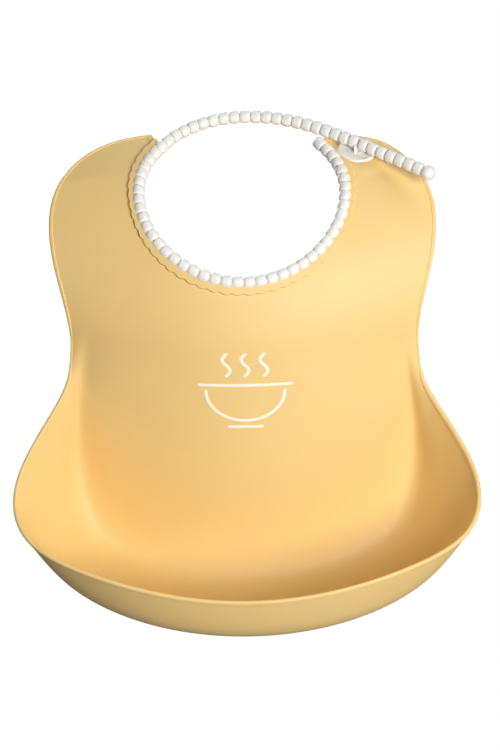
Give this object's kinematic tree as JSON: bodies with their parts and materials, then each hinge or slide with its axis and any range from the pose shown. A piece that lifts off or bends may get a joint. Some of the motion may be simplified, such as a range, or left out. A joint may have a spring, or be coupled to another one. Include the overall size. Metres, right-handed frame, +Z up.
{
  "type": "baby bib",
  "caption": "Soft moulded bib with a front panel, flared scoop pocket, and a beaded neck band that fastens at a button clasp on one shoulder.",
  "frame": {"origin": "centre of the neck opening, level with its widest place", "axes": "+Z up as worn, +X to the right seen from the front (the clasp's side), the pocket and the printed front face -Y"},
  "size_m": [0.2742, 0.201, 0.264],
  "materials": {
    "soft_body": "satin",
    "band": "satin",
    "clasp": "satin",
    "ink": "matte"
  },
  "bodies": {
    "bib": {"bib_body": "soft_body", "neckline_strand": "band", "clasp_plate": "clasp", "clasp_backing": "clasp", "print_motif": "ink"},
    "strap_1": {"strap_bead_01": "band"},
    "strap_2": {"strap_bead_02": "band"},
    "strap_3": {"strap_bead_03": "band"},
    "strap_4": {"strap_bead_04": "band"},
    "strap_5": {"strap_bead_05": "band"},
    "strap_6": {"strap_bead_06": "band"},
    "strap_7": {"strap_bead_07": "band"},
    "strap_8": {"strap_bead_08": "band"},
    "strap_9": {"strap_bead_09": "band", "strap_bead_10": "band", "strap_bead_11": "band", "strap_bead_12": "band", "strap_bead_13": "band", "strap_bead_14": "band", "strap_bead_15": "band", "strap_bead_16": "band", "strap_bead_17": "band", "strap_bead_18": "band", "strap_bead_19": "band", "strap_bead_20": "band", "strap_bead_21": "band"},
    "tail_1": {"strap_bead_22": "band"},
    "tail_2": {"strap_bead_23": "band"},
    "tail_3": {"strap_bead_24": "band"},
    "tail_4": {"strap_bead_25": "band", "strap_bead_26": "band", "strap_bead_27": "band", "strap_bead_28": "band"}
  },
  "joints": [
    {"name": "strap_open", "type": "hinge", "parent": "bib", "child": "strap_1", "pos_m": [-0.04559, 0.03809, 0.01331], "axis": [-0.044, -0.9382, -0.3433], "range_deg": [0, 10]},
    {"name": "strap_open_2", "type": "hinge", "parent": "strap_1", "child": "strap_2", "pos_m": [-0.04143, 0.04273, 0.01518], "axis": [-0.044, -0.9382, -0.3433], "range_deg": [0, 10]},
    {"name": "strap_open_3", "type": "hinge", "parent": "strap_2", "child": "strap_3", "pos_m": [-0.03668, 0.04685, 0.01688], "axis": [-0.044, -0.9382, -0.3433], "range_deg": [0, 10]},
    {"name": "strap_open_4", "type": "hinge", "parent": "strap_3", "child": "strap_4", "pos_m": [-0.03143, 0.05038, 0.01839], "axis": [-0.044, -0.9382, -0.3433], "range_deg": [0, 10]},
    {"name": "strap_open_5", "type": "hinge", "parent": "strap_4", "child": "strap_5", "pos_m": [-0.02575, 0.05329, 0.01969], "axis": [-0.044, -0.9382, -0.3433], "range_deg": [0, 10]},
    {"name": "strap_open_6", "type": "hinge", "parent": "strap_5", "child": "strap_6", "pos_m": [-0.01974, 0.05555, 0.02077], "axis": [-0.044, -0.9382, -0.3433], "range_deg": [0, 10]},
    {"name": "strap_open_7", "type": "hinge", "parent": "strap_6", "child": "strap_7", "pos_m": [-0.01349, 0.05716, 0.02161], "axis": [-0.044, -0.9382, -0.3433], "range_deg": [0, 10]},
    {"name": "strap_open_8", "type": "hinge", "parent": "strap_7", "child": "strap_8", "pos_m": [-0.00709, 0.05811, 0.02223], "axis": [-0.044, -0.9382, -0.3433], "range_deg": [0, 10]},
    {"name": "strap_open_9", "type": "hinge", "parent": "strap_8", "child": "strap_9", "pos_m": [-0.0006, 0.05842, 0.02262], "axis": [-0.044, -0.9382, -0.3433], "range_deg": [0, 10]},
    {"name": "tail_bend", "type": "hinge", "parent": "strap_9", "child": "tail_1", "pos_m": [0.07499, 0.02544, 0.01383], "axis": [-0.5974, -0.7451, -0.2966], "range_deg": [0, 10]},
    {"name": "tail_bend_2", "type": "hinge", "parent": "tail_1", "child": "tail_2", "pos_m": [0.08023, 0.02176, 0.01271], "axis": [-0.5974, -0.7451, -0.2966], "range_deg": [0, 10]},
    {"name": "tail_bend_3", "type": "hinge", "parent": "tail_2", "child": "tail_3", "pos_m": [0.08543, 0.01804, 0.01158], "axis": [-0.5974, -0.7451, -0.2966], "range_deg": [0, 10]},
    {"name": "tail_bend_4", "type": "hinge", "parent": "tail_3", "child": "tail_4", "pos_m": [0.09061, 0.01428, 0.01043], "axis": [-0.5974, -0.7451, -0.2966], "range_deg": [0, 10]}
  ]
}
